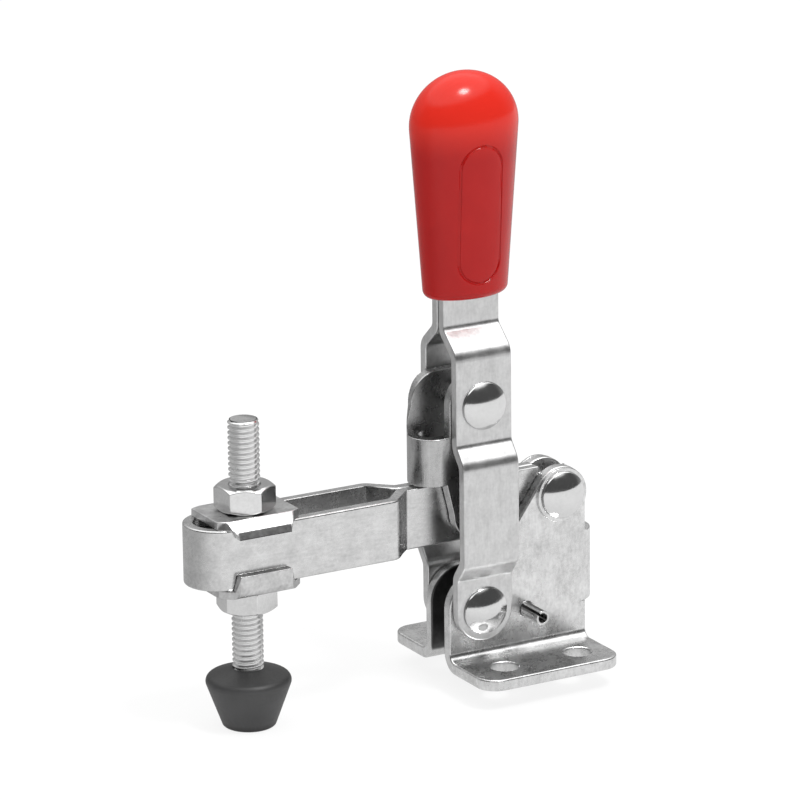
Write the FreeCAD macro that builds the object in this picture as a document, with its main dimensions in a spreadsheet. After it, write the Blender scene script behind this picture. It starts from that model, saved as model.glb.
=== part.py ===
import FreeCAD, Part
import math
import os

import Sketcher
from FreeCAD import Placement, Rotation, Vector

# A vertical-handle toggle clamp, closed, in millimetres. +X runs forward to the spindle,
# +Y to the left side, +Z up. The origin is on the underside of the base, in the middle of
# its four bolt holes. The lower pivot joins handle and base, the upper pivot handle and
# link, the drive pivot link and arm, and the arm pivot arm and base.

SIZES = {
    # base, folded from one sheet
    "base_length": 30.0,
    "base_ahead": 0.6,
    "base_width": 37.2,
    "base_sheet": 2.2,
    "base_gap": 4.6,
    "lower_ear_radius": 6.6,
    "rear_ear_radius": 5.4,
    "flange_bend": 1.6,
    "flange_corner": 4.0,
    "web_low": 9.2,
    "web_high": 23.3,
    "web_reach": 3.0,
    "slope_foot": 2.0,
    "slope_fillet": 3.0,
    "bolt_spacing_long": 16.0,
    "bolt_spacing_wide": 24.0,
    "bolt_hole_radius": 2.65,
    # pivots
    "lower_pivot_height": 12.0,
    "upper_pivot_reach": 40.2,
    "link_reach": 21.3,
    "arm_pivot_back": 18.0,
    "arm_pivot_rise": 0.5,
    # rivets and their fits
    "shoulder_radius": 2.6,
    "rivet_end_radius": 2.2,
    "head_radius": 4.6,
    "head_rim": 0.4,
    "head_dome": 1.5,
    "drive_head_radius": 4.0,
    "drive_head_dome": 0.9,
    "running_fit": 0.05,
    "riveted_fit": 0.02,
    "side_play": 0.2,
    "pivot_washer_radius": 5.3,
    "pivot_washer_sheet": 0.6,
    # handle, two joggled plates
    "handle_sheet": 1.9,
    "handle_width": 12.0,
    "neck_gap": 0.5,
    "wide_gap": 14.8,
    "neck_low": 53.8,
    "link_bay_high": 49.8,
    "link_bay_low": 32.2,
    "wide_bay_high": 28.9,
    "wide_bay_low": 10.6,
    "base_bay_high": 7.1,
    "tang_top": 92.0,
    "tang_corner": 3.0,
    "handle_bend": 1.6,
    # stop pin, rolled from spring sheet
    "opening_angle": 58.0,
    "pin_radius": 1.4,
    "pin_wall": 0.45,
    "pin_slot": 0.5,
    "pin_length": 21.0,
    "pin_reach": 10.6,
    "stop_gap": 0.05,
    # grip
    "grip_bottom": 60.3,
    "grip_length": 42.5,
    "grip_dome": 10.0,
    "grip_dome_lap": 4.5,
    "grip_foot_long": 8.5,
    "grip_foot_wide": 5.6,
    "grip_top_long": 10.9,
    "grip_top_wide": 7.4,
    "grip_foot_round": 1.6,
    "grip_fit": 0.05,
    "oval_low": 3.0,
    "oval_high": 29.8,
    "oval_width": 9.2,
    "oval_line": 0.5,
    "oval_depth": 0.3,
    # link, folded to a U
    "link_sheet": 2.2,
    "link_width": 9.2,
    "link_ear": 5.4,
    "link_near_ear": 6.2,
    "link_nose": 12.2,
    "link_web_foot": 6.9,
    "link_web_low": 15.15,
    "link_web_high": 5.9,
    "link_brow": 10.5,
    "link_brow_round": 6.0,
    # arm, folded to a hairpin
    "arm_sheet": 2.05,
    "leg_gap": 0.1,
    "arm_width": 13.2,
    "arm_height": 11.6,
    "arm_joggle_start": 14.4,
    "arm_joggle_end": 18.4,
    "arm_bend_centre": 52.7,
    "arm_bend": 0.8,
    "arm_heel": 5.9,
    "arm_heel_round": 5.4,
    "notch_front": 3.3,
    "notch_back": 4.1,
    "notch_depth": 3.2,
    "notch_corner": 1.0,
    # spindle with its nuts and flanged washers
    "spindle_place": 47.1,
    "spindle_radius": 2.95,
    "spindle_top": 55.4,
    "spindle_chamfer": 0.8,
    "nut_flats": 10.0,
    "nut_height": 4.8,
    "nut_face_radius": 4.7,
    "upper_nut_turn": 34.0,
    "lower_nut_turn": 22.0,
    "thread_fit": 0.05,
    "flanged_sheet": 1.5,
    "flanged_length": 17.0,
    "flanged_corner": 3.1,
    "flanged_hole": 3.2,
    "flanged_bend": 1.4,
    "lip_play": 0.15,
    "upper_lip_drop": 1.7,
    "lower_lip_drop": 2.9,
    "lip_length": 12.4,
    "lip_taper": 0.9,
    # rubber cap moulded round the spindle's head
    "tip_height": -4.0,
    "cap_foot_radius": 4.9,
    "cap_rim_radius": 8.4,
    "cap_rim_height": 9.6,
    "cap_height": 11.4,
    "cap_foot_round": 0.9,
    "cap_rim_round": 1.3,
    "spindle_head_radius": 4.6,
    "spindle_head_low": 4.2,
    "spindle_head_high": 7.4,
    "bond_gap": 0.02,
    # how far a cutting body runs past the face that it opens
    "overcut": 1.0,
}

doc = FreeCAD.newDocument("toggle_clamp")
sheet = doc.addObject("Spreadsheet::Sheet", "Sizes")
for row, (size_name, size_value) in enumerate(SIZES.items(), start=1):
    sheet.set("A%d" % row, size_name)
    sheet.set("B%d" % row, str(size_value))
    sheet.setAlias("B%d" % row, size_name)
doc.recompute()


class Size:
    """A length or an angle: its value now, and the sheet formula that drives it."""

    def __init__(self, value, formula):
        self.value = value
        self.formula = formula

    def __add__(self, other):
        other = as_size(other)
        return Size(self.value + other.value, "(%s + %s)" % (self.formula, other.formula))

    def __sub__(self, other):
        other = as_size(other)
        return Size(self.value - other.value, "(%s - %s)" % (self.formula, other.formula))

    def __mul__(self, other):
        other = as_size(other)
        return Size(self.value * other.value, "(%s * %s)" % (self.formula, other.formula))

    def __truediv__(self, other):
        other = as_size(other)
        return Size(self.value / other.value, "(%s / %s)" % (self.formula, other.formula))

    def __neg__(self):
        return self * -1

    __radd__ = __add__
    __rmul__ = __mul__

    def __rsub__(self, other):
        return as_size(other) - self


def as_size(number):
    if isinstance(number, Size):
        return number
    return Size(float(number), "(%r)" % float(number))


def size(name):
    return Size(SIZES[name], "Sizes.%s" % name)


def root(length):
    return Size(math.sqrt(length.value), "sqrt(%s)" % length.formula)


def sine(angle):
    return Size(math.sin(math.radians(angle.value)), "sin(%s)" % angle.formula)


def cosine(angle):
    return Size(math.cos(math.radians(angle.value)), "cos(%s)" % angle.formula)


def slant(sideways, along):
    """Tangent of half the angle of a bend into a slope of that run and rise."""
    return (root(sideways * sideways + along * along) - along) / sideways


def bind(target, prop, amount):
    """Drive one property of an object from the sheet."""
    target.setExpression(prop, as_size(amount).formula)


def make_body(name, at=(0, 0, 0), turn=None):
    body = doc.addObject("PartDesign::Body", name)
    if turn is not None:
        body.Placement = Placement(Vector(0, 0, 0), turn)
    for axis, amount in zip("xyz", at):
        bind(body, "Placement.Base.%s" % axis, amount)
    return body


def make_sketch(body, name, plane, corners, circles=()):
    """A closed outline on one of the body's own planes, with round holes.

    A corner is (across, up), or (across, up, centre, turn) where an arc about that centre,
    turning left for 1 or right for -1, leads to it from the corner before.
    """
    sketch = body.newObject("Sketcher::SketchObject", name)
    origin_plane = [f for f in body.Origin.OriginFeatures if f.Role == plane + "_Plane"][0]
    sketch.AttachmentSupport = [(origin_plane, "")]
    sketch.MapMode = "FlatFace"

    def hold(kind, geometry, point, amount):
        amount = as_size(amount)
        number = sketch.addConstraint(
            Sketcher.Constraint(kind, -1, 1, geometry, point, amount.value))
        sketch.setExpression("Constraints[%d]" % number, amount.formula)

    corners = [(as_size(c[0]), as_size(c[1])) + tuple(c[2:]) for c in corners]
    ends = []
    for index, corner in enumerate(corners):
        before = corners[index - 1]
        start = Vector(before[0].value, before[1].value, 0)
        finish = Vector(corner[0].value, corner[1].value, 0)
        if len(corner) == 2:
            geometry = sketch.addGeometry(Part.LineSegment(start, finish))
            ends.append((geometry, 1, 2))
            continue
        middle, turn = corner[2], corner[3]
        centre = Vector(as_size(middle[0]).value, as_size(middle[1]).value, 0)
        first, last = (start, finish) if turn > 0 else (finish, start)
        begin = math.atan2(first.y - centre.y, first.x - centre.x)
        stop = math.atan2(last.y - centre.y, last.x - centre.x)
        if stop <= begin:
            stop += 2 * math.pi
        circle = Part.Circle(centre, Vector(0, 0, 1), (first - centre).Length)
        geometry = sketch.addGeometry(Part.ArcOfCircle(circle, begin, stop))
        ends.append((geometry, 1, 2) if turn > 0 else (geometry, 2, 1))
        chord = finish - start
        if abs(chord.y) > abs(chord.x):
            hold("DistanceX", geometry, 3, middle[0])
        else:
            hold("DistanceY", geometry, 3, middle[1])
    for index, (geometry, _, end) in enumerate(ends):
        following, begin, _ = ends[(index + 1) % len(ends)]
        sketch.addConstraint(Sketcher.Constraint("Coincident", geometry, end, following, begin))
        hold("DistanceX", geometry, end, corners[index][0])
        hold("DistanceY", geometry, end, corners[index][1])
    for across, up, radius in circles:
        across, up, radius = as_size(across), as_size(up), as_size(radius)
        centre = Vector(across.value, up.value, 0)
        geometry = sketch.addGeometry(Part.Circle(centre, Vector(0, 0, 1), radius.value))
        hold("DistanceX", geometry, 3, across)
        hold("DistanceY", geometry, 3, up)
        number = sketch.addConstraint(Sketcher.Constraint("Radius", geometry, radius.value))
        sketch.setExpression("Constraints[%d]" % number, radius.formula)
    return sketch


def pad(body, sketch, length):
    """Extrude an outline by that length, half to each side of its plane."""
    feature = body.newObject("PartDesign::Pad", sketch.Name + "_pad")
    feature.Profile = sketch
    feature.SideType = "Symmetric"
    bind(feature, "Length", length)
    return feature


def cut(body, sketch, length):
    """Cut an outline through the body, half of the length to each side of its plane."""
    before = body_volume(body)
    feature = body.newObject("PartDesign::Pocket", sketch.Name + "_cut")
    feature.Profile = sketch
    feature.SideType = "Symmetric"
    bind(feature, "Length", length)
    if body_volume(body) > before - 1e-6:
        raise RuntimeError(sketch.Name + " cuts nothing")
    return feature


def body_volume(body):
    doc.recompute()
    return body.Shape.Volume


def edges_at(shape, direction, places):
    """Names of the straight edges along a direction that stand at the given places."""
    names = []
    flat = [i for i in range(3) if abs(direction[i]) < 0.5]
    for number, edge in enumerate(shape.Edges, start=1):
        if edge.Curve.TypeId != "Part::GeomLine":
            continue
        along = edge.tangentAt(edge.FirstParameter)
        if along.cross(direction).Length > 1e-6:
            continue
        middle = edge.CenterOfMass
        for place in places:
            if all(abs(middle[i] - as_size(p).value) < 1e-3 for i, p in zip(flat, place)):
                names.append("Edge%d" % number)
    return names


def dress(body, kind, direction, places, amount):
    """Round or chamfer the edges that stand at the given places."""
    doc.recompute()
    tip = body.Tip
    names = edges_at(tip.Shape, direction, places)
    if not names:
        raise RuntimeError("no edge to dress on " + body.Name)
    feature = body.newObject("PartDesign::" + kind, "%s_%s" % (tip.Name, kind.lower()))
    feature.Base = (tip, names)
    bind(feature, "Radius" if kind == "Fillet" else "Size", amount)
    return feature


def round_rims(body, places, radius):
    """Round the circular edges of a turned piece that lie at (radius, height)."""
    doc.recompute()
    tip = body.Tip
    names = []
    for number, edge in enumerate(tip.Shape.Edges, start=1):
        if edge.Curve.TypeId != "Part::GeomCircle":
            continue
        for rim, height in places:
            at_rim = abs(edge.Curve.Radius - as_size(rim).value) < 1e-3
            if at_rim and abs(edge.Curve.Center.z - as_size(height).value) < 1e-3:
                names.append("Edge%d" % number)
    feature = body.newObject("PartDesign::Fillet", tip.Name + "_round")
    feature.Base = (tip, names)
    bind(feature, "Radius", radius)
    return feature


def turned(name, plane, corners, at=(0, 0, 0)):
    """A piece turned about its own upright sketch axis."""
    body = make_body(name, at)
    profile = make_sketch(body, name + "_profile", plane, corners)
    feature = body.newObject("PartDesign::Revolution", name + "_turned")
    feature.Profile = profile
    feature.ReferenceAxis = (profile, ["V_Axis"])
    feature.Angle = 360
    return body


def join(kind, name, pieces):
    """Fuse the pieces, or keep what is common to all of them."""
    result = doc.addObject("Part::Multi" + kind, name)
    result.Shapes = pieces
    result.Refine = True
    return result


def remove(name, base, tool):
    result = doc.addObject("Part::Cut", name)
    result.Base = base
    result.Tool = tool
    result.Refine = True
    return result


# Places that several pieces share.
half_length = size("base_length") / 2
base_front = size("base_ahead") + half_length
half_gap = size("base_gap") / 2
base_face = half_gap + size("base_sheet")
lower_x = base_front - size("lower_ear_radius")
lower_z = size("lower_pivot_height")
upper_z = lower_z + size("upper_pivot_reach")
drive_z = upper_z - size("link_reach")
arm_x = lower_x - size("arm_pivot_back")
arm_z = drive_z + size("arm_pivot_rise")
half_handle = size("handle_width") / 2
running_hole = size("shoulder_radius") + size("running_fit")
riveted_hole = size("rivet_end_radius") + size("riveted_fit")
base_bay = base_face + size("side_play")
link_face = size("link_width") / 2
link_bay = link_face + size("side_play")
arm_half = size("arm_width") / 2
arm_half_height = size("arm_height") / 2
spindle_x = lower_x + size("spindle_place")
# The opened handle's rear edge lies against the stop pin.
lean = (half_handle + size("pin_radius") + size("stop_gap")) / size("pin_reach")
rest = root(1 - lean * lean)
opened = size("opening_angle")
pin_x = lower_x - size("pin_reach") * (sine(opened) * rest + cosine(opened) * lean)
pin_z = lower_z + size("pin_reach") * (cosine(opened) * rest - sine(opened) * lean)
X_AXIS, Y_AXIS, Z_AXIS = Vector(1, 0, 0), Vector(0, 1, 0), Vector(0, 0, 1)


def make_base():
    """Two side plates joined by a round web at the back, with feet folded outwards."""
    bend_high = size("base_sheet") + size("flange_bend")
    ear = size("rear_ear_radius")
    rear = arm_x - ear
    web_x = rear - size("web_reach") + base_face
    foot_x = lower_x - size("slope_foot")
    foot_z = lower_z + size("lower_ear_radius")
    # The slope runs from its foot to the tangent point on the rear ear.
    across, up = foot_x - arm_x, foot_z - arm_z
    apart = across * across + up * up
    near, aside = ear * ear / apart, ear * root(apart - ear * ear) / apart
    slope_x = arm_x + near * across - aside * up
    slope_z = arm_z + near * up + aside * across
    plates = make_body("base_plates")
    side = make_sketch(plates, "base_side", "XZ", [
        (base_front, bend_high),
        (base_front, lower_z),
        (lower_x, foot_z, (lower_x, lower_z), 1),
        (foot_x, foot_z),
        (slope_x, slope_z),
        (rear, arm_z, (arm_x, arm_z), 1),
        (rear, size("web_high")),
        (web_x, size("web_high")),
        (web_x, size("web_low")),
        (rear, size("web_low")),
        (rear, bend_high),
    ], circles=[
        (lower_x, lower_z, running_hole),
        (arm_x, arm_z, riveted_hole),
        (pin_x, pin_z, size("pin_radius") + size("riveted_fit")),
    ])
    pad(plates, side, 2 * base_face)
    dress(plates, "Fillet", Y_AXIS, [(foot_x, foot_z)], size("slope_fillet"))
    slot = make_sketch(plates, "base_slot", "XY", [
        (-2 * half_length, -half_gap),
        (2 * half_length, -half_gap),
        (2 * half_length, half_gap),
        (-2 * half_length, half_gap),
    ])
    cut(plates, slot, 4 * arm_z)

    web = make_body("base_web", at=(web_x, 0, (size("web_low") + size("web_high")) / 2))
    ring = make_sketch(web, "web_ring", "XY", [
        (0, base_face),
        (0, -base_face, (0, 0), 1),
        (0, -half_gap),
        (0, half_gap, (0, 0), -1),
    ])
    pad(web, ring, size("web_high") - size("web_low"))

    feet = []
    for side_name, out in (("left", 1), ("right", -1)):
        foot = make_body("base_foot_" + side_name, at=(size("base_ahead"), 0, 0))
        centre = (out * (base_face + size("flange_bend")), bend_high)
        edge = out * size("base_width") / 2
        section = make_sketch(foot, "foot_section_" + side_name, "YZ", [
            (out * half_gap, bend_high),
            (centre[0], 0, centre, out),
            (edge, 0),
            (edge, size("base_sheet")),
            (centre[0], size("base_sheet")),
            (out * base_face, bend_high, centre, -out),
        ])
        pad(foot, section, size("base_length"))
        holes = make_sketch_of_holes(foot, "foot_holes_" + side_name, [
            (end * size("bolt_spacing_long") / 2 - size("base_ahead"),
             out * size("bolt_spacing_wide") / 2)
            for end in (-1, 1)], size("bolt_hole_radius"))
        cut(foot, holes, 4 * size("base_sheet"))
        dress(foot, "Fillet", Z_AXIS, [(half_length, edge), (-half_length, edge)],
              size("flange_corner"))
        feet.append(foot)
    return join("Fuse", "base_bracket", [plates, web] + feet)


def make_sketch_of_holes(body, name, places, radius):
    return make_sketch(body, name, "XY", [], [(x, y, radius) for x, y in places])


def make_handle_plate(name, out):
    """A strip joggled three times: neck, link bay, wide bay over the arm's rivet, base bay."""
    sheet_thickness = size("handle_sheet")
    stations = [
        (size("neck_gap") / 2, size("tang_top"), size("neck_low")),
        (link_bay, size("link_bay_high"), size("link_bay_low")),
        (size("wide_gap") / 2, size("wide_bay_high"), size("wide_bay_low")),
        (base_bay, size("base_bay_high"), -1 * half_handle),
    ]
    inner, outer, tight, loose = [(stations[0][0], stations[0][1])], [], [], []
    outer.append((stations[0][0] + sheet_thickness, stations[0][1]))
    for above, below in zip(stations, stations[1:]):
        widening = below[0].value > above[0].value
        run = below[0] - above[0] if widening else above[0] - below[0]
        shift = sheet_thickness * slant(run, above[2] - below[1]) * (1 if widening else -1)
        inside = [(above[0], above[2]), (below[0], below[1])]
        outside = [(y + sheet_thickness, z + shift) for y, z in inside]
        inner += inside
        outer += outside
        tight += [outside[0], inside[1]] if widening else [inside[0], outside[1]]
        loose += [inside[0], outside[1]] if widening else [outside[0], inside[1]]
    inner.append((stations[-1][0], stations[-1][2]))
    outer.append((stations[-1][0] + sheet_thickness, stations[-1][2]))
    strip = make_body(name + "_strip", at=(lower_x, 0, lower_z))
    section = make_sketch(strip, name + "_section", "YZ",
                          [(out * y, z) for y, z in inner + outer[::-1]])
    pad(strip, section, size("handle_width"))
    dress(strip, "Fillet", X_AXIS, [(out * y, z) for y, z in tight], size("handle_bend"))
    dress(strip, "Fillet", X_AXIS, [(out * y, z) for y, z in loose],
          size("handle_bend") + sheet_thickness)
    blank = make_body(name + "_blank", at=(lower_x, 0, lower_z))
    outline = make_sketch(blank, name + "_outline", "XZ", [
        (half_handle, 0, (0, 0), 1),
        (half_handle, size("tang_top") - size("tang_corner")),
        (half_handle - size("tang_corner"), size("tang_top")),
        (-half_handle + size("tang_corner"), size("tang_top")),
        (-half_handle, size("tang_top") - size("tang_corner")),
        (-half_handle, 0),
    ], circles=[(0, 0, riveted_hole), (0, size("upper_pivot_reach"), riveted_hole)])
    pad(blank, outline, 2 * size("wide_gap"))
    return join("Common", name, [strip, blank])


def make_grip():
    """An oval moulded grip that widens to a domed top, with a slot for the two plates."""
    foot_z = lower_z + size("grip_bottom")
    dome_z = foot_z + size("grip_length") - size("grip_dome")
    # The dome starts a little below its widest ring, where it is as steep as the stem.
    lap = size("grip_dome_lap")
    rings = []
    for name, long, wide, height in (
            ("grip_foot", size("grip_foot_long"), size("grip_foot_wide"), foot_z),
            ("grip_shoulder", size("grip_top_long") * cosine(lap),
             size("grip_top_wide") * cosine(lap), dome_z - size("grip_dome") * sine(lap))):
        ring = doc.addObject("Part::Ellipse", name)
        bind(ring, "MajorRadius", long)
        bind(ring, "MinorRadius", wide)
        bind(ring, "Placement.Base.x", lower_x)
        bind(ring, "Placement.Base.z", height)
        rings.append(ring)
    stem = doc.addObject("Part::Loft", "grip_stem")
    stem.Sections = rings
    stem.Solid = True
    dome = doc.addObject("Part::Ellipsoid", "grip_dome_ball")
    bind(dome, "Radius1", size("grip_dome"))
    bind(dome, "Radius2", size("grip_top_long"))
    bind(dome, "Radius3", size("grip_top_wide"))
    bind(dome, "Angle1", -1 * lap)
    bind(dome, "Placement.Base.x", lower_x)
    bind(dome, "Placement.Base.z", dome_z)
    moulding = join("Fuse", "grip_moulding", [stem, dome])
    doc.recompute()
    rounded = doc.addObject("Part::Fillet", "grip_rounded")
    rounded.Base = moulding
    radius = SIZES["grip_foot_round"]
    rounded.Edges = [
        (number, radius, radius) for number, edge in enumerate(moulding.Shape.Edges, start=1)
        if edge.BoundBox.ZMax < foot_z.value + 1e-3]
    outlined = cut_oval(rounded, foot_z)
    slot_length = 2 * (half_handle + size("grip_fit"))
    slot_width = 2 * (size("neck_gap") / 2 + size("handle_sheet") + size("grip_fit"))
    slot = doc.addObject("Part::Box", "grip_slot")
    bind(slot, "Length", slot_length)
    bind(slot, "Width", slot_width)
    bind(slot, "Height",
         size("tang_top") - size("grip_bottom") + size("grip_fit") + size("overcut"))
    bind(slot, "Placement.Base.x", lower_x - slot_length / 2)
    bind(slot, "Placement.Base.y", -1 * slot_width / 2)
    bind(slot, "Placement.Base.z", foot_z - size("overcut"))
    return remove("grip", outlined, slot)


def cut_oval(moulding, foot_z):
    """A fine groove in the shape of a long oval, sunk into the left side of the grip."""
    half, line = size("oval_width") / 2, size("oval_line")
    low, high = size("oval_low") + half, size("oval_high") - half
    reach = 2 * size("grip_top_wide")
    band = make_body("oval_band", (lower_x, reach / 2, foot_z))
    ring = make_sketch(band, "oval_ring", "XZ", [
        (half, high),
        (-1 * half, high, (0, high), 1),
        (-1 * half, low),
        (half, low, (0, low), 1),
    ])
    pad(band, ring, reach)
    inner = half - line
    core = make_sketch(band, "oval_core", "XZ", [
        (inner, high),
        (-1 * inner, high, (0, high), 1),
        (-1 * inner, low),
        (inner, low, (0, low), 1),
    ])
    cut(band, core, reach)
    # Behind the groove lies the moulding itself, moved inwards by the groove's depth.
    floor = doc.addObject("Part::Compound", "oval_floor")
    floor.Links = [moulding]
    bind(floor, "Placement.Base.y", -1 * size("oval_depth"))
    return remove("grip_outlined", moulding, remove("oval_groove", band, floor))


def make_rivet(name, at, shoulder, seat, head, dome):
    """A shouldered rivet along Y: its shoulder keeps the plates apart, its heads hold them."""
    end = size("rivet_end_radius")
    rim = seat + size("head_rim")
    top = rim + dome
    ball = (head * head + dome * dome) / (2 * dome)
    half = [
        (size("shoulder_radius"), shoulder),
        (end, shoulder),
        (end, seat),
        (head, seat),
        (head, rim),
    ]
    corners = [(x, -1 * y) for x, y in half[::-1]] + half
    corners.append((0, top, (0, top - ball), 1))
    corners.append((0, -1 * top))
    corners[0] = corners[0] + ((0, ball - top), 1)
    return turned(name, "XY", corners, at)


def make_rivets():
    plate = size("handle_sheet")
    head, dome = size("head_radius"), size("head_dome")
    make_rivet("lower_pivot_rivet", (lower_x, 0, lower_z), base_bay, base_bay + plate, head, dome)
    make_rivet("upper_pivot_rivet", (lower_x, 0, upper_z), link_bay, link_bay + plate, head, dome)
    make_rivet("drive_pivot_rivet", (lower_x, 0, drive_z), link_face - size("link_sheet"),
               link_face, size("drive_head_radius"), size("drive_head_dome"))
    washer_face = base_face + size("pivot_washer_sheet")
    make_rivet("arm_pivot_rivet", (arm_x, 0, arm_z), half_gap, washer_face, head, dome)
    for side_name, out in (("left", 1), ("right", -1)):
        turned("pivot_washer_" + side_name, "XY", [
            (riveted_hole, out * base_face),
            (size("pivot_washer_radius"), out * base_face),
            (size("pivot_washer_radius"), out * washer_face),
            (riveted_hole, out * washer_face),
        ], (arm_x, 0, arm_z))


def make_stop_pin():
    """A slotted roll pin through both plates; the opened handle comes to rest on it."""
    pin = make_body("stop_pin", (pin_x, 0, pin_z), Rotation(Y_AXIS, 45))
    tube = make_sketch(pin, "pin_section", "XZ", [], [
        (0, 0, size("pin_radius")),
        (0, 0, size("pin_radius") - size("pin_wall"))])
    pad(pin, tube, size("pin_length"))
    half_slot = size("pin_slot") / 2
    slot = make_sketch(pin, "pin_slot", "XZ", [
        (-1 * half_slot, 0),
        (half_slot, 0),
        (half_slot, 2 * size("pin_radius")),
        (-1 * half_slot, 2 * size("pin_radius")),
    ])
    cut(pin, slot, 2 * size("pin_length"))


def make_link():
    """A U folded round the front, its ears hung on two rivets.

    Above the web the right cheek keeps its brow, and the left one is cut back to a round ear.
    """
    ear, nose, brow = size("link_ear"), size("link_nose"), size("link_brow_round")
    half_width = link_face
    inside = half_width - size("link_sheet")
    bend_x = nose - half_width
    reach = size("link_reach")
    at = (lower_x, 0, upper_z)
    cheeks = make_body("link_cheeks", at)
    outline = make_sketch(cheeks, "link_side", "XZ", [
        (ear, -1 * reach, (0, -1 * reach), 1),
        (size("link_web_foot"), -1 * size("link_web_low")),
        (nose, -1 * size("link_web_low")),
        (nose, -1 * size("link_web_high")),
        (size("link_brow"), ear - brow),
        (size("link_brow") - brow, ear, (size("link_brow") - brow, ear - brow), 1),
        (0, ear),
        (-1 * ear, 0, (0, 0), 1),
        (-1 * ear, -1 * reach),
    ], circles=[(0, 0, running_hole), (0, -1 * reach, riveted_hole)])
    pad(cheeks, outline, size("link_width"))
    channel = make_body("link_channel", at)
    back = -2 * ear
    plan = make_sketch(channel, "link_plan", "XY", [
        (back, -1 * half_width),
        (bend_x, -1 * half_width),
        (bend_x, half_width, (bend_x, 0), 1),
        (back, half_width),
        (back, inside),
        (bend_x, inside),
        (bend_x, -1 * inside, (bend_x, 0), -1),
        (back, -1 * inside),
    ])
    pad(channel, plan, 3 * reach)
    window = make_sketch(channel, "link_window", "YZ", [
        (-1 * inside, -1 * size("link_web_high")),
        (inside, -1 * size("link_web_high")),
        (inside, 2 * ear),
        (-1 * inside, 2 * ear),
    ])
    cut(channel, window, 3 * nose)
    near_ear, clear = size("link_near_ear"), size("overcut")
    trim = make_body("link_trim", (lower_x, half_width / 2, upper_z))
    ahead = make_sketch(trim, "link_trim_side", "XZ", [
        (near_ear, -1 * size("link_web_high")),
        (near_ear, 0),
        (0, near_ear, (0, 0), 1),
        (nose + clear, near_ear),
        (nose + clear, -1 * size("link_web_high")),
    ])
    pad(trim, ahead, half_width)
    remove("link", join("Common", "link_blank", [cheeks, channel]), trim)


def make_arm():
    """A hairpin of sheet: open for the spindle in front, legs together behind the joggle."""
    thickness = size("arm_sheet")
    leg = size("leg_gap") / 2
    slot = arm_half - thickness
    start, end = size("arm_joggle_start"), size("arm_joggle_end")
    shift = thickness * slant(slot - leg, end - start)
    heel = -1 * (size("arm_pivot_back") + size("arm_heel"))
    bend_x = size("arm_bend_centre")
    outer = [(heel, leg + thickness), (start, leg + thickness), (end, arm_half), (bend_x, arm_half)]
    inner = [(heel, leg), (start + shift, leg), (end + shift, slot), (bend_x, slot)]
    arm = make_body("clamp_arm", at=(lower_x, 0, drive_z))
    plan = make_sketch(arm, "arm_plan", "XY",
                       outer
                       + [(bend_x, -1 * arm_half, (bend_x, 0), -1)]
                       + [(x, -1 * y) for x, y in outer[2::-1] + inner]
                       + [(bend_x, slot, (bend_x, 0), 1)]
                       + inner[2::-1])
    pad(arm, plan, size("arm_height"))
    tight = [outer[1], inner[2]]
    loose = [inner[1], outer[2]]
    dress(arm, "Fillet", Z_AXIS, tight + [(x, -1 * y) for x, y in tight], size("arm_bend"))
    dress(arm, "Fillet", Z_AXIS, loose + [(x, -1 * y) for x, y in loose],
          size("arm_bend") + thickness)
    pivot = (-1 * size("arm_pivot_back"), arm_z - drive_z)
    hole = make_sketch(arm, "drive_hole", "XZ", [], [(0, 0, running_hole)])
    cut(arm, hole, 2 * size("arm_width"))
    low, high = heel * 2, arm_half_height
    heel_corner = size("arm_heel_round")
    ends = make_sketch(arm, "heel_trim", "XZ", [
        (heel + heel_corner, high),
        (heel, high - heel_corner, (heel + heel_corner, high - heel_corner), 1),
        (heel, -1 * high + heel_corner),
        (heel + heel_corner, -1 * high, (heel + heel_corner, -1 * high + heel_corner), 1),
        (heel + heel_corner, -2 * high),
        (low, -2 * high),
        (low, 2 * high),
        (heel + heel_corner, 2 * high),
    ])
    cut(arm, ends, 2 * size("arm_width"))
    front, rear = pivot[0] + size("notch_front"), pivot[0] - size("notch_back")
    deep = pivot[1] - size("notch_depth")
    corner = size("notch_corner")
    notch = make_sketch(arm, "pivot_notch", "XZ", [
        (rear, 2 * high),
        (rear, deep + corner),
        (rear + corner, deep, (rear + corner, deep + corner), 1),
        (front - corner, deep),
        (front, deep + corner, (front - corner, deep + corner), 1),
        (front, 2 * high),
    ])
    cut(arm, notch, 2 * size("arm_width"))


def make_flanged_washer(name, height, up, lip_drop):
    """A washer with its two long edges folded over the sides of the arm."""
    thickness = size("flanged_sheet")
    inside = arm_half + size("lip_play")
    outside = inside + thickness
    drop = -up * lip_drop
    face = up * thickness
    half = size("flanged_length") / 2
    lip = size("lip_length") / 2
    at = (spindle_x, 0, height)
    channel = make_body(name + "_channel", at)
    section = make_sketch(channel, name + "_section", "YZ", [
        (-1 * outside, drop),
        (-1 * outside, face),
        (outside, face),
        (outside, drop),
        (inside, drop),
        (inside, 0),
        (-1 * inside, 0),
        (-1 * inside, drop),
    ])
    pad(channel, section, size("flanged_length"))
    dress(channel, "Fillet", X_AXIS, [(outside, face), (-1 * outside, face)],
          size("flanged_bend"))
    profile = make_body(name + "_lips", at)
    tip = lip - size("lip_taper")
    side = make_sketch(profile, name + "_side", "XZ", [
        (-1 * half, face),
        (-1 * half, 0),
        (-1 * lip, 0),
        (-1 * tip, drop),
        (tip, drop),
        (lip, 0),
        (half, 0),
        (half, face),
    ])
    pad(profile, side, 3 * outside)
    blank = make_body(name + "_blank", at)
    corner = size("flanged_corner")
    plan = make_sketch(blank, name + "_plan", "XY", [
        (half, outside - corner),
        (half - corner, outside),
        (corner - half, outside),
        (-1 * half, outside - corner),
        (-1 * half, corner - outside),
        (corner - half, -1 * outside),
        (half - corner, -1 * outside),
        (half, corner - outside),
    ], circles=[(0, 0, size("flanged_hole"))])
    pad(blank, plan, 2 * (lip_drop + thickness))
    join("Common", name, [channel, profile, blank])


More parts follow.
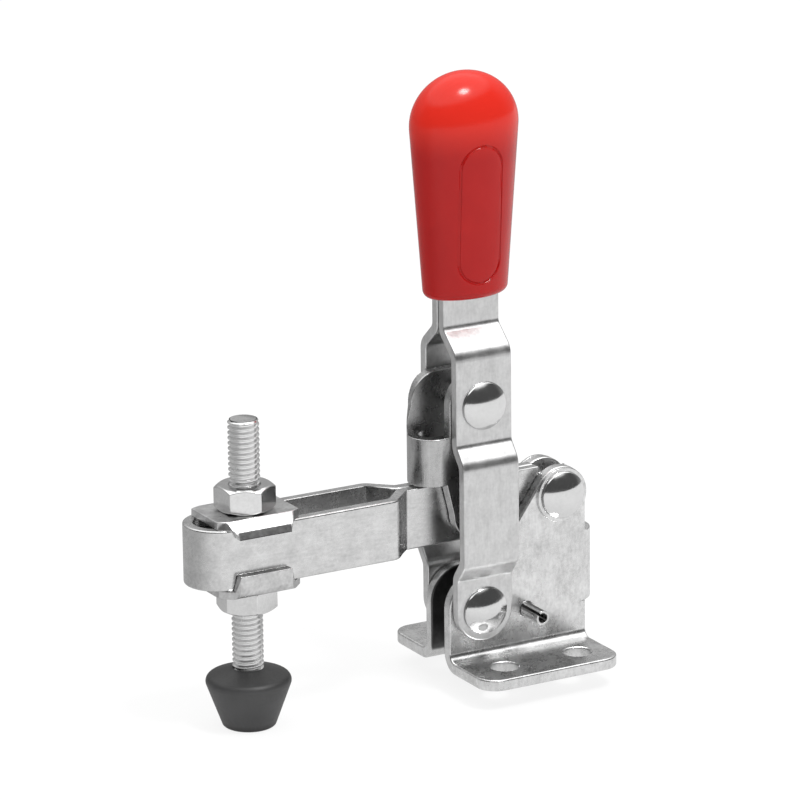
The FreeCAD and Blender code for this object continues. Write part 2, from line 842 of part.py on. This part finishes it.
def make_nut(name, height, turn):
    """A hexagon nut with both faces chamfered, its thread drawn as a plain bore."""
    corner = size("nut_flats") / root(as_size(3))
    prism = doc.addObject("Part::Prism", name + "_hexagon")
    prism.Polygon = 6
    bind(prism, "Circumradius", corner)
    bind(prism, "Height", size("nut_height"))
    prism.Placement = Placement(Vector(0, 0, 0), Rotation(Z_AXIS, turn.value))
    bind(prism, "Placement.Base.x", spindle_x)
    bind(prism, "Placement.Base.z", height)
    face = size("nut_face_radius")
    fall = (corner - face) / root(as_size(3))
    tall = size("nut_height")
    turning = turned(name + "_turning", "XZ", [
        (0, 0),
        (face, 0),
        (corner, fall),
        (corner, tall - fall),
        (face, tall),
        (0, tall),
    ], (spindle_x, 0, height))
    bore = doc.addObject("Part::Cylinder", name + "_bore")
    bind(bore, "Radius", size("spindle_radius") + size("thread_fit"))
    bind(bore, "Height", tall + 2 * size("overcut"))
    bind(bore, "Placement.Base.x", spindle_x)
    bind(bore, "Placement.Base.z", height - size("overcut"))
    remove(name, join("Common", name + "_blank", [prism, turning]), bore)


def make_spindle_set():
    """The spindle, its two nuts and flanged washers, and the rubber cap on its head."""
    arm_top = drive_z + arm_half_height
    arm_bottom = drive_z - arm_half_height
    make_flanged_washer("upper_flanged_washer", arm_top, 1, size("upper_lip_drop"))
    make_flanged_washer("lower_flanged_washer", arm_bottom, -1, size("lower_lip_drop"))
    make_nut("upper_nut", arm_top + size("flanged_sheet"), size("upper_nut_turn"))
    make_nut("lower_nut", arm_bottom - size("flanged_sheet") - size("nut_height"),
             size("lower_nut_turn"))
    foot = size("tip_height")
    shank, head = size("spindle_radius"), size("spindle_head_radius")
    tall = size("spindle_top") - foot
    turned("spindle", "XZ", [
        (0, size("spindle_head_low")),
        (head, size("spindle_head_low")),
        (head, size("spindle_head_high")),
        (shank, size("spindle_head_high")),
        (shank, tall - size("spindle_chamfer")),
        (shank - size("spindle_chamfer"), tall),
        (0, tall),
    ], (spindle_x, 0, foot))
    bond = size("bond_gap")
    cap = turned("rubber_cap", "XZ", [
        (0, 0),
        (size("cap_foot_radius"), 0),
        (size("cap_rim_radius"), size("cap_rim_height")),
        (shank + bond, size("cap_height")),
        (shank + bond, size("spindle_head_high") + bond),
        (head + bond, size("spindle_head_high") + bond),
        (head + bond, size("spindle_head_low") - bond),
        (0, size("spindle_head_low") - bond),
    ], (spindle_x, 0, foot))
    round_rims(cap, [(size("cap_rim_radius"), size("cap_rim_height"))], size("cap_rim_round"))
    round_rims(cap, [(size("cap_foot_radius"), 0)], size("cap_foot_round"))


make_base()
make_handle_plate("handle_plate_left", 1)
make_handle_plate("handle_plate_right", -1)
make_grip()
make_rivets()
make_stop_pin()
make_link()
make_arm()
make_spindle_set()

NODES = [
    "base_bracket", "stop_pin", "arm_pivot_rivet", "pivot_washer_left", "pivot_washer_right",
    "handle_plate_left", "handle_plate_right", "grip", "lower_pivot_rivet",
    "upper_pivot_rivet", "link", "drive_pivot_rivet", "clamp_arm",
    "upper_flanged_washer", "lower_flanged_washer", "upper_nut", "lower_nut",
    "spindle", "rubber_cap",
]

doc.recompute()
for item in doc.Objects:
    if "Invalid" in item.State or "Error" in item.State:
        raise RuntimeError("%s failed: %s" % (item.Name, item.State))

os.makedirs("parts", exist_ok=True)
for node in NODES:
    piece = doc.getObject(node)
    piece.Label = node
    shape = piece.Shape
    if shape.isNull() or not shape.isValid() or len(shape.Solids) != 1:
        raise RuntimeError("%s is not one valid solid" % node)
    shape.exportStep("parts/%s.step" % node)
    box = shape.BoundBox
    print("%-22s %9.2f mm3  x %.1f..%.1f  y %.1f..%.1f  z %.1f..%.1f" % (
        node, shape.Volume, box.XMin, box.XMax, box.YMin, box.YMax, box.ZMin, box.ZMax))
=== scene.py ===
import math

import bmesh
import bpy
from mathutils import Matrix, Vector


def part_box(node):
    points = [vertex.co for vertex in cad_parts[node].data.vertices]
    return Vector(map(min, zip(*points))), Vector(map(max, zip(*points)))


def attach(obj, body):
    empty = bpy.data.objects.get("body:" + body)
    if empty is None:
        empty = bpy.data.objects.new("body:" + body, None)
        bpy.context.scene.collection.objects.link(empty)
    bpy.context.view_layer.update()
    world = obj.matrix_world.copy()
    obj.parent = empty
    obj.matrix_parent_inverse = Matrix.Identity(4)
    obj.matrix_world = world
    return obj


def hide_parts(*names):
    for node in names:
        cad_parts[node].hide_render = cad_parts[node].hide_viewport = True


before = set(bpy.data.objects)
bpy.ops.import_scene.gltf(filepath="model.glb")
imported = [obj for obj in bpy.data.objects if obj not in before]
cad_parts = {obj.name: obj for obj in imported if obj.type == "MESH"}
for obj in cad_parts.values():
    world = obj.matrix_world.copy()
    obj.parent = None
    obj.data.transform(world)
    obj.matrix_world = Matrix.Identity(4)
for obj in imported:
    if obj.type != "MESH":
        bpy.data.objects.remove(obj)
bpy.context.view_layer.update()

# The photographer's view: a long lens from the front left, a little above the clamp. The
# picture is 800 pixels wide and high, and the focal length is given in its pixels.
picture_side = 800
focal_pixels = 5030.94
camera_place = Vector((0.461278, 0.782658, 0.319229))
camera_back = Vector((0.468365, 0.836730, 0.283756)).normalized()
camera_roll = math.radians(-0.687)

level_right = (-camera_back).cross(Vector((0, 0, 1))).normalized()
level_up = level_right.cross(-camera_back)
picture_right = math.cos(camera_roll) * level_right + math.sin(camera_roll) * level_up
picture_up = math.cos(camera_roll) * level_up - math.sin(camera_roll) * level_right
lens = bpy.data.cameras.new("long_lens")
lens.sensor_width = 36.0
lens.lens = lens.sensor_width * focal_pixels / picture_side
lens.clip_start, lens.clip_end = 0.1, 50.0
camera = bpy.data.objects.new("camera", lens)
camera.matrix_world = Matrix.Translation(camera_place) @ Matrix(
    (picture_right, picture_up, camera_back)).transposed().to_4x4()
bpy.context.scene.collection.objects.link(camera)
bpy.context.scene.camera = camera
bpy.context.scene.view_settings.view_transform = "Standard"


# A white sweep and a soft room: a wide lamp overhead, a darker room behind the camera and a
# grey wall behind the clamp, which the metal mirrors. The camera itself sees plain white.
class Value:
    """A socket that an expression is built on: arithmetic on it adds Math nodes."""

    def __init__(self, wiring, socket):
        self.wiring, self.socket = wiring, socket

    def math(self, operation, first, second):
        return self.wiring.node("ShaderNodeMath", {"operation": operation},
                                {0: first, 1: second})

    def __add__(self, other):
        return self.math("ADD", self, other)

    def __sub__(self, other):
        return self.math("SUBTRACT", self, other)

    def __rsub__(self, other):
        return self.math("SUBTRACT", other, self)

    def __mul__(self, other):
        return self.math("MULTIPLY", self, other)

    def __truediv__(self, other):
        return self.math("DIVIDE", self, other)

    def between(self, low, high):
        """0 below low, 1 above high, smooth in between."""
        return self.wiring.node("ShaderNodeMapRange", {"interpolation_type": "SMOOTHSTEP"}, {
            "Value": self, "From Min": low, "From Max": high})

    __radd__ = __add__
    __rmul__ = __mul__


class Wiring:
    """A tree of nodes that are added one at a time."""

    def __init__(self, tree):
        self.tree = tree
        self.tree.nodes.clear()

    def node(self, kind, settings, sockets, out=0):
        """One node: its settings, then a number or a link for each socket, or a list of links."""
        made = self.tree.nodes.new(kind)
        for name, setting in settings.items():
            setattr(made, name, setting)
        for name, amount in sockets.items():
            for part in amount if isinstance(amount, list) else [amount]:
                if isinstance(part, Value):
                    self.tree.links.new(part.socket, made.inputs[name])
                else:
                    made.inputs[name].default_value = part
        return Value(self, made.outputs[out]) if made.outputs else None

    def blend(self, share, first, second):
        """A colour between two others."""
        return self.node("ShaderNodeMix", {"data_type": "RGBA"},
                         {0: share, 6: first, 7: second}, out=2)


class Finish(Wiring):
    """The nodes of a material or a world."""

    def __init__(self, owner):
        owner.use_nodes = True
        self.owner = owner
        super().__init__(owner.node_tree)


toward_camera = Vector((0.25, 0.97, 0.0)).normalized()
front_edge, wall_climb, lamp_edge = (-0.30, 0.20), (0.2, 0.6), (0.58, 0.73)
wall_glow, wall_gain, front_loss, overhead_glow = 0.36, 0.30, 0.27, 1.75

room = bpy.data.worlds.new("soft_room")
bpy.context.scene.world = room
air = Finish(room)
direction = air.node("ShaderNodeTexCoord", {}, {}, out="Generated")
facing = air.node("ShaderNodeVectorMath", {"operation": "DOT_PRODUCT"},
                  {0: direction, 1: toward_camera}, out="Value")
height = air.node("ShaderNodeSeparateXYZ", {}, {0: direction}, out="Z")
upper_wall = wall_gain * height.between(*wall_climb)
wall = wall_glow + upper_wall - facing.between(*front_edge) * (front_loss + upper_wall)
glow = wall + (overhead_glow - wall) * height.between(*lamp_edge)
sight = air.node("ShaderNodeLightPath", {}, {}, out="Is Camera Ray")
light = air.node("ShaderNodeBackground", {}, {
    "Color": (1, 1, 1, 1), "Strength": sight + (1.0 - sight) * glow})
air.node("ShaderNodeOutputWorld", {}, {"Surface": light})

floor_height, floor_half = -0.00402, 3.0
toward_left, lit_edge = (-0.45, 0.9, 0.0), (-0.13, 0.08)
paper_glow, paper_gain, white_share = 0.36, 0.64, 0.85

sweep_mesh = bpy.data.meshes.new("white_sweep")
sweep_mesh.from_pydata([
    (-floor_half, -floor_half, floor_height), (floor_half, -floor_half, floor_height),
    (floor_half, floor_half, floor_height), (-floor_half, floor_half, floor_height)],
    [], [(0, 1, 2, 3)])
sweep = bpy.data.objects.new("white_sweep", sweep_mesh)
bpy.context.scene.collection.objects.link(sweep)
paper = Finish(bpy.data.materials.new("white_paper"))
sight_ray, mirror_ray, glass_ray = (
    paper.node("ShaderNodeLightPath", {}, {}, out=kind)
    for kind in ("Is Camera Ray", "Is Glossy Ray", "Is Transmission Ray"))
# Painted light: for mirrored rays the sweep glows brighter on its left part, a painted pool of
# light, and dimmer elsewhere.
spot = paper.node("ShaderNodeTexCoord", {}, {}, out="Object")
painted_lit_side = paper.node("ShaderNodeVectorMath", {"operation": "DOT_PRODUCT"},
                 {0: spot, 1: toward_left}, out="Value").between(*lit_edge)
matt = paper.node("ShaderNodeBsdfDiffuse", {}, {"Color": (0.9, 0.9, 0.9, 1)})
white = paper.node("ShaderNodeEmission", {}, {
    "Color": (1, 1, 1, 1),
    "Strength": sight_ray + (1.0 - sight_ray) * (paper_glow + paper_gain * painted_lit_side)})
paper.node("ShaderNodeOutputMaterial", {}, {"Surface": paper.node(
    "ShaderNodeMixShader", {}, {
        "Fac": (sight_ray + mirror_ray + glass_ray) * white_share, 1: matt, 2: white})})
sweep_mesh.materials.append(paper.owner)

lamp_azimuth, lamp_height = math.radians(-18), math.radians(62)
lamp_aim, lamp_distance = Vector((0.02, 0, 0.06)), 1.3
lamp_data = bpy.data.lights.new("key_lamp", "AREA")
lamp_data.shape, lamp_data.size, lamp_data.energy = "DISK", 0.32, 9.0
lamp = bpy.data.objects.new("key_lamp", lamp_data)
lamp_direction = Vector((math.sin(lamp_azimuth) * math.cos(lamp_height),
                         math.cos(lamp_azimuth) * math.cos(lamp_height), math.sin(lamp_height)))
lamp_turn = lamp_direction.to_track_quat("Z", "Y").to_matrix().to_4x4()
lamp.matrix_world = Matrix.Translation(lamp_aim + lamp_direction * lamp_distance) @ lamp_turn
bpy.context.scene.collection.objects.link(lamp)


# The base is one pressing of 2.2 mm steel sheet: two side plates joined by a round web at
# the back, with feet folded outwards and four bolt holes. It is zinc plated after pressing.
# The narrow slot between the side plates is darkened with painted shade, and its zinc is rougher
# there.
def plated(name, tone, rough, mottle, streak=(1.0, 1.0, 1.0), painted_shade=None):
    """Satin zinc plate: cloudy patches, faint drawing lines and a slightly uneven face.
    Where the mask that it is given is 1, the zinc is darkened with painted shade and rougher."""
    cloud_shade, speck_shade, line_shade = 1.2, 0.7, 0.7
    cloud_rough, speck_rough = 0.16, 0.08
    speck_height, line_height = 0.25, 0.2
    slot_shade_dark, slot_rough_gain = 0.85, 0.2
    zinc = Finish(bpy.data.materials.new(name))
    place = zinc.node("ShaderNodeTexCoord", {}, {}, out="Object")
    lined = zinc.node("ShaderNodeMapping", {}, {"Vector": place, "Scale": streak})
    cloud = zinc.node("ShaderNodeTexNoise", {}, {
        "Vector": place, "Scale": 330.0, "Detail": 3.0, "Roughness": 0.55})
    speck = zinc.node("ShaderNodeTexNoise", {}, {
        "Vector": place, "Scale": 1500.0, "Detail": 2.0, "Roughness": 0.5})
    lines = zinc.node("ShaderNodeTexNoise", {}, {
        "Vector": lined, "Scale": 1900.0, "Detail": 2.0, "Roughness": 0.6})
    uneven = ((cloud - 0.5) * cloud_shade + (speck - 0.5) * speck_shade
              + (lines - 0.5) * line_shade)
    shade = uneven * mottle + tone
    roughness = (cloud - 0.5) * cloud_rough + (speck - 0.5) * speck_rough + rough
    # Painted shade: the zinc is darkened where the mask is 1.
    if painted_shade:
        slot_shade = painted_shade(zinc, place)
        shade = shade * (1.0 - slot_shade_dark * slot_shade)
        roughness = roughness + slot_rough_gain * slot_shade
    relief = zinc.node("ShaderNodeBump", {}, {
        "Strength": 0.5, "Distance": 0.00002,
        "Height": cloud + speck * speck_height + lines * line_height})
    zinc.node("ShaderNodeOutputMaterial", {}, {"Surface": zinc.node(
        "ShaderNodeBsdfPrincipled", {}, {
            "Base Color": zinc.node("ShaderNodeCombineColor", {}, {0: shade, 1: shade, 2: shade}),
            "Metallic": 1.0, "Roughness": roughness, "Normal": relief})})
    return zinc.owner


def painted_slot_shade(zinc, place):
    """Painted shade: 1 in the slot between the base's side plates, below the arm, and 0
    elsewhere.
    """
    half_gap, web_inside, soft_edge = 0.0024, -0.0158, 0.0003
    slot_dark, slot_light = 0.020, 0.030
    along, across, up = (
        zinc.node("ShaderNodeSeparateXYZ", {}, {0: place}, out=axis) for axis in "XYZ")
    off_middle = zinc.node("ShaderNodeMath", {"operation": "ABSOLUTE"}, {0: across})
    return ((1.0 - off_middle.between(half_gap, half_gap + soft_edge))
            * along.between(web_inside, web_inside + soft_edge)
            * (1.0 - up.between(slot_dark, slot_light)))


def dressed(node, name, body, material, edge, turned=False, reshape=None):
    """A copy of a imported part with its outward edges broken, which stands for it.
    An edge stays sharp beside a face that is too narrow for it, and where it is short and
    runs into an inward corner. A turned part keeps all its facets."""
    corner, flat, same_point = math.radians(32), math.radians(0.2), 1e-6
    narrowest, shortest = edge * 0.6, edge * 2
    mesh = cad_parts[node].data.copy()
    mesh.name = name
    work = bmesh.new()
    work.from_mesh(mesh)
    bmesh.ops.remove_doubles(work, verts=work.verts, dist=same_point)
    if reshape:
        for vertex in work.verts:
            vertex.co = reshape(vertex)
    if not turned:
        bmesh.ops.dissolve_limit(work, angle_limit=flat, verts=work.verts, edges=work.edges)
    weight = work.edges.layers.float.new("bevel_weight_edge")
    folds = [seam for seam in work.edges if seam.calc_face_angle(0) > corner]
    inward = {vertex for seam in folds if not seam.is_convex for vertex in seam.verts}
    for seam in folds:
        width = min(face.calc_area() / max(side.calc_length() for side in face.edges)
                    for face in seam.link_faces)
        cornered = seam.calc_length() < shortest and not inward.isdisjoint(seam.verts)
        if seam.is_convex and width >= narrowest and not cornered:
            seam[weight] = 1.0
    work.to_mesh(mesh)
    work.free()
    mesh.materials.clear()
    mesh.materials.append(material)
    mesh.shade_smooth()
    mesh.set_sharp_from_angle(angle=corner)
    piece = bpy.data.objects.new(name, mesh)
    bpy.context.scene.collection.objects.link(piece)
    if edge:
        bevel = piece.modifiers.new("broken_edges", "BEVEL")
        bevel.width, bevel.segments = edge, 3
        bevel.limit_method = "WEIGHT"
        bevel.use_clamp_overlap = False
        flats = piece.modifiers.new("flat_faces", "WEIGHTED_NORMAL")
        flats.keep_sharp = True
    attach(piece, body)
    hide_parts(node)


base_zinc = plated("base_zinc", tone=0.66, rough=0.28, mottle=0.36, streak=(1, 1, 0.3),
                   painted_shade=painted_slot_shade)
dressed("base_bracket", "folded_base", "base", base_zinc, edge=0.0003)

# The stop pin is a roll pin of spring steel sheet, curled to a tube with an open seam. It is
# driven through both plates of the base.
pin_steel = plated("pin_steel", tone=0.58, rough=0.22, mottle=0.10)
dressed("stop_pin", "roll_pin", "base", pin_steel, edge=0.00006)

# The arm pivot is a shouldered steel rivet through the base, closed to low domes and polished
# by its tool. A thin plated washer lies under each head.
rivet_steel = plated("rivet_steel", tone=0.66, rough=0.12, mottle=0.08)
dressed("arm_pivot_rivet", "arm_rivet", "base", rivet_steel, edge=0.0002, turned=True)
dressed("pivot_washer_left", "thin_washer_left", "base", base_zinc, edge=0.00008)
dressed("pivot_washer_right", "thin_washer_right", "base", base_zinc, edge=0.00008)

# The link is steel sheet folded to a U round the front of the arm, and a little darker than
# the rest. It hangs on the handle's upper rivet, and its own rivet carries the arm.
link_zinc = plated("link_zinc", tone=0.48, rough=0.28, mottle=0.24, streak=(1, 1, 0.12))
dressed("link", "folded_link", "link", link_zinc, edge=0.00016)
dressed("drive_pivot_rivet", "drive_rivet", "link", rivet_steel, edge=0.00015,
        turned=True)

# The handle is two joggled strips of plated steel. Two rivets hold them together, one in the
# base and one in the link, and the grip holds their tops.
sheet_tone = 0.62
strip_zinc = plated("strip_zinc", tone=sheet_tone, rough=0.34, mottle=0.26, streak=(1, 1, 0.2))
for side in ("left", "right"):
    dressed(f"handle_plate_{side}", f"handle_strip_{side}", "handle",
            strip_zinc, edge=0.00028)
for level in ("lower", "upper"):
    dressed(f"{level}_pivot_rivet", f"{level}_rivet", "handle", rivet_steel,
            edge=0.0002, turned=True)

# The grip is moulded in glossy red vinyl over the top of both strips. Its dome is painted a
# brighter red than its body as painted light from above, and a fine oval line is sunk in its left
# side.
body_top, dome_foot = 0.0985, 0.1075
deep_red, body_red, painted_lit_dome_red = (
    (0.34, 0.004, 0.004, 1), (0.42, 0.008, 0.007, 1), (0.64, 0.024, 0.014, 1))
vinyl_rough, skin_rough = 0.17, 0.10
vinyl = Finish(bpy.data.materials.new("red_vinyl"))
place = vinyl.node("ShaderNodeTexCoord", {}, {}, out="Object")
skin = vinyl.node("ShaderNodeTexNoise", {}, {
    "Vector": place, "Scale": 900.0, "Detail": 3.0, "Roughness": 0.6})
patch = vinyl.node("ShaderNodeTexNoise", {}, {
    "Vector": place, "Scale": 120.0, "Detail": 2.0, "Roughness": 0.5})
height = vinyl.node("ShaderNodeSeparateXYZ", {}, {0: place}, out="Z")
# The dome's brighter red is painted light falling from above.
red = vinyl.blend(height.between(body_top, dome_foot),
                  vinyl.blend(patch, deep_red, body_red), painted_lit_dome_red)
skin_relief = vinyl.node("ShaderNodeBump", {}, {
    "Strength": 0.25, "Distance": 0.00004, "Height": skin})
vinyl.node("ShaderNodeOutputMaterial", {}, {"Surface": vinyl.node(
    "ShaderNodeBsdfPrincipled", {}, {
        "Base Color": red, "Roughness": (skin - 0.5) * skin_rough + vinyl_rough,
        "Normal": skin_relief, "Specular IOR Level": 0.26})})

grip_low, grip_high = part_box("grip")
oval_middle = (grip_low[0] + grip_high[0]) / 2
oval_radius, oval_line, groove_depth, line_depth = 0.0046, 0.0005, 0.0003, 0.00012
oval_foot, oval_top = grip_low[2] + 0.003, grip_low[2] + 0.0298
oval_low, oval_high = oval_foot + oval_radius, oval_top - oval_radius


def in_oval(point, near):
    """Whether a point of the grip is on the oval's line, or that near to it."""
    middle_z = min(max(point.z, oval_low), oval_high)
    off = math.hypot(point.x - oval_middle, point.z - middle_z)
    return oval_radius - oval_line - near < off < oval_radius + near


def shallow_oval(vertex):
    """The floor of the solid's groove is raised, which leaves a fine, shallow line."""
    vertex_slack, face_slack = 0.00002, 0.00008
    on_left = vertex.co.y > 0 and in_oval(vertex.co, vertex_slack)
    if on_left and all(in_oval(face.calc_center_median(), face_slack)
                       for face in vertex.link_faces):
        return vertex.co + Vector((0, groove_depth - line_depth, 0))
    return vertex.co


dressed("grip", "vinyl_grip", "handle", vinyl.owner, edge=0.00005, reshape=shallow_oval)

# The clamping arm is a hairpin of plated steel sheet, bent round in front and closed behind
# the joggle. It turns on the link's rivet and on the base's.
arm_zinc = plated("arm_zinc", tone=sheet_tone, rough=0.26, mottle=0.28, streak=(0.2, 1, 1))
dressed("clamp_arm", "hairpin_arm", "arm", arm_zinc, edge=0.00032)

# Two flanged washers of plated steel straddle the arm, with their long edges pressed over
# its sides. The upper one's sides slope outwards before they turn down.
washer_zinc = plated("washer_zinc", tone=0.58, rough=0.32, mottle=0.36)
washer_low, washer_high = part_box("upper_flanged_washer")
bend_radius = 0.0014
bend_y, bend_z = washer_high[1] - bend_radius, washer_high[2] - bend_radius
slope_start, slope_end, slope_drop = 0.0059, 0.0077, 0.0018
slope_foot = washer_high[2] - slope_drop


def sloped(vertex):
    """The outside of the upper washer's bend becomes its slope, and the lip meets that."""
    corner, hair = vertex.co, 0.00002
    out, rise = abs(corner.y) - bend_y, corner.z - bend_z
    if out > -hair and rise > -hair and math.hypot(out, rise) > bend_radius - hair:
        share = math.atan2(max(out, 0), max(rise, 0)) / (math.pi / 2)
        wide = slope_start + (slope_end - slope_start) * share
        tall = washer_high[2] - slope_drop * share
    elif out > bend_radius - hair:
        share = (bend_z - corner.z) / (bend_z - washer_low[2])
        wide = slope_end + (washer_high[1] - slope_end) * share
        tall = slope_foot - (slope_foot - washer_low[2]) * share
    else:
        return corner
    return Vector((corner.x, math.copysign(wide, corner.y), tall))


dressed("upper_flanged_washer", "upper_saddle_washer", "spindle_carrier",
        washer_zinc, edge=0.0002, reshape=sloped)
dressed("lower_flanged_washer", "lower_saddle_washer", "spindle_carrier",
        washer_zinc, edge=0.00012)

# Two hexagon nuts of bright plated steel, chamfered on both faces, clamp the washers on the
# arm and hold the spindle at its height.
nut_steel = plated("nut_steel", tone=0.70, rough=0.18, mottle=0.14)
for level in ("upper", "lower"):
    dressed(f"{level}_nut", f"{level}_hexagon_nut", "spindle_carrier", nut_steel,
            edge=0.0001)

# The spindle is an M6 steel screw with a rolled thread from its rubber cap to its chamfered
# top. Its flat head is inside the cap.
thread_steel = plated("thread_steel", tone=0.78, rough=0.24, mottle=0.10)
spindle_low, spindle_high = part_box("spindle")
screw_sizes = {
    "Centre": (spindle_low[0] + spindle_high[0]) / 2, "Foot": 0.0034, "Top": spindle_high[2],
    "Pitch": 0.001, "Crest": 0.00295, "Core": 0.00243, "End": 0.0026, "Head": 0.0045,
    "Head Foot": spindle_low[2], "Finish": thread_steel}
around, rows_per_turn = 40, 8
groove_flat, crest_start = 0.1, 0.42
thread_corner = math.radians(50)

rolled = bpy.data.node_groups.new("rolled_thread", "GeometryNodeTree")
for name in screw_sizes:
    kind = "Material" if name == "Finish" else "Float"
    rolled.interface.new_socket(name, in_out="INPUT", socket_type="NodeSocket" + kind)
rolled.interface.new_socket("Mesh", in_out="OUTPUT", socket_type="NodeSocketGeometry")
screw = Wiring(rolled)
given = rolled.nodes.new("NodeGroupInput")
centre, foot, top, pitch, crest, core, end, head, head_foot, finish = (
    Value(screw, given.outputs[name]) for name in screw_sizes)

# A grid one turn wide and some turns high is rolled up, with its rows along the helix, so
# that its left side meets its right side one pitch further up.
turns = screw.node("ShaderNodeMath", {"operation": "CEIL"}, {0: (top - foot) / pitch + 1.0})
grid = screw.node("GeometryNodeMeshGrid", {}, {
    "Size X": 1.0, "Size Y": turns, "Vertices X": around + 1,
    "Vertices Y": turns * rows_per_turn + 1.0})
point = screw.node("GeometryNodeInputPosition", {}, {})
across = screw.node("ShaderNodeSeparateXYZ", {}, {0: point}, out="X")
along = screw.node("ShaderNodeSeparateXYZ", {}, {0: point}, out="Y")
rise = screw.node("ShaderNodeMath", {"operation": "MINIMUM"}, {
    0: screw.node("ShaderNodeMath", {"operation": "MAXIMUM"}, {
        0: (top + foot) * 0.5 + (along + across) * pitch, 1: foot}), 1: top})
from_groove = screw.node("ShaderNodeMath", {"operation": "PINGPONG"}, {0: along, 1: 0.5})
flank = core + (crest - core) * from_groove.between(groove_flat, crest_start)
from_end = screw.node("ShaderNodeMath", {"operation": "MINIMUM"}, {
    0: top - rise, 1: rise - foot})
radius = screw.node("ShaderNodeMath", {"operation": "MINIMUM"}, {0: flank, 1: end + from_end})
angle = across * (2 * math.pi)
cosine = screw.node("ShaderNodeMath", {"operation": "COSINE"}, {0: angle})
sine = screw.node("ShaderNodeMath", {"operation": "SINE"}, {0: angle})
on_helix = screw.node("ShaderNodeCombineXYZ", {}, {
    0: centre + radius * cosine, 1: radius * sine, 2: rise})
shank = screw.node("GeometryNodeSetPosition", {}, {"Geometry": grid, "Position": on_helix})
disc = screw.node("GeometryNodeMeshCircle", {"fill_type": "NGON"}, {
    "Vertices": around, "Radius": end})
lids = [screw.node("GeometryNodeTransform", {}, {
    "Geometry": disc, "Translation": screw.node("ShaderNodeCombineXYZ", {}, {0: centre, 2: lid})})
    for lid in (foot, top)]
button = screw.node("GeometryNodeTransform", {}, {
    "Geometry": screw.node("GeometryNodeMeshCylinder", {}, {
        "Vertices": around, "Radius": head, "Depth": foot - head_foot}),
    "Translation": screw.node("ShaderNodeCombineXYZ", {}, {
        0: centre, 2: (foot + head_foot) * 0.5})})
closed = screw.node("GeometryNodeMergeByDistance", {}, {
    "Geometry": screw.node("GeometryNodeJoinGeometry", {}, {"Geometry": [shank] + lids}),
    "Distance": 2e-6})
whole = screw.node("GeometryNodeJoinGeometry", {}, {"Geometry": [closed, button]})
screw.node("NodeGroupOutput", {}, {"Mesh": screw.node("GeometryNodeSetMaterial", {}, {
    "Geometry": screw.node("GeometryNodeRealizeInstances", {}, {"Geometry": whole}),
    "Material": finish})})

blank = bpy.data.objects.new("blank", bpy.data.meshes.new("blank"))
bpy.context.scene.collection.objects.link(blank)
rolling = blank.modifiers.new("rolling", "NODES")
rolling.node_group = rolled
for item in rolled.interface.items_tree:
    if item.in_out == "INPUT":
        rolling[item.identifier] = screw_sizes[item.name]
graph = bpy.context.evaluated_depsgraph_get()
thread_mesh = bpy.data.meshes.new_from_object(blank.evaluated_get(graph), depsgraph=graph)
bpy.data.objects.remove(blank)
thread_mesh.name = "threaded_spindle"
work = bmesh.new()
work.from_mesh(thread_mesh)
bmesh.ops.recalc_face_normals(work, faces=work.faces)
work.to_mesh(thread_mesh)
work.free()
thread_mesh.shade_smooth()
thread_mesh.set_sharp_from_angle(angle=thread_corner)
threaded = bpy.data.objects.new("threaded_spindle", thread_mesh)
bpy.context.scene.collection.objects.link(threaded)
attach(threaded, "spindle")
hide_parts("spindle")

# The cap is moulded in black rubber round the spindle's head. Its tapered side shows the
# rubber's dark grey, and its top and its foot are darkened nearly to black with painted shade.
cap_low, cap_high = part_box("rubber_cap")
foot_grey, top_grey, top_black = cap_low[2] + 0.0016, cap_high[2] - 0.0026, cap_high[2] - 0.0016
painted_shade_black, dark_grey, side_grey = (
    (0.014, 0.014, 0.014, 1), (0.042, 0.042, 0.043, 1), (0.066, 0.066, 0.067, 1))
top_shade_share, rubber_rough, grain_rough = 0.8, 0.5, 0.2
rubber = Finish(bpy.data.materials.new("black_rubber"))
place = rubber.node("ShaderNodeTexCoord", {}, {}, out="Object")
grain = rubber.node("ShaderNodeTexNoise", {}, {
    "Vector": place, "Scale": 1500.0, "Detail": 3.0, "Roughness": 0.6})
bloom = rubber.node("ShaderNodeTexNoise", {}, {
    "Vector": place, "Scale": 200.0, "Detail": 2.0, "Roughness": 0.5})
height = rubber.node("ShaderNodeSeparateXYZ", {}, {0: place}, out="Z")
# Painted shade: 1 on the side, falling to 0 at the foot and mostly towards 0 at the top.
unshaded_side = (height.between(cap_low[2], foot_grey)
          * (1.0 - top_shade_share * height.between(top_grey, top_black)))
black = rubber.blend(unshaded_side, painted_shade_black, rubber.blend(bloom, dark_grey, side_grey))
rubber_relief = rubber.node("ShaderNodeBump", {}, {
    "Strength": 0.3, "Distance": 0.00004, "Height": grain})
rubber.node("ShaderNodeOutputMaterial", {}, {"Surface": rubber.node(
    "ShaderNodeBsdfPrincipled", {}, {
        "Base Color": black, "Roughness": (grain - 0.5) * grain_rough + rubber_rough,
        "Normal": rubber_relief})})
dressed("rubber_cap", "moulded_cap", "spindle", rubber.owner, edge=0)
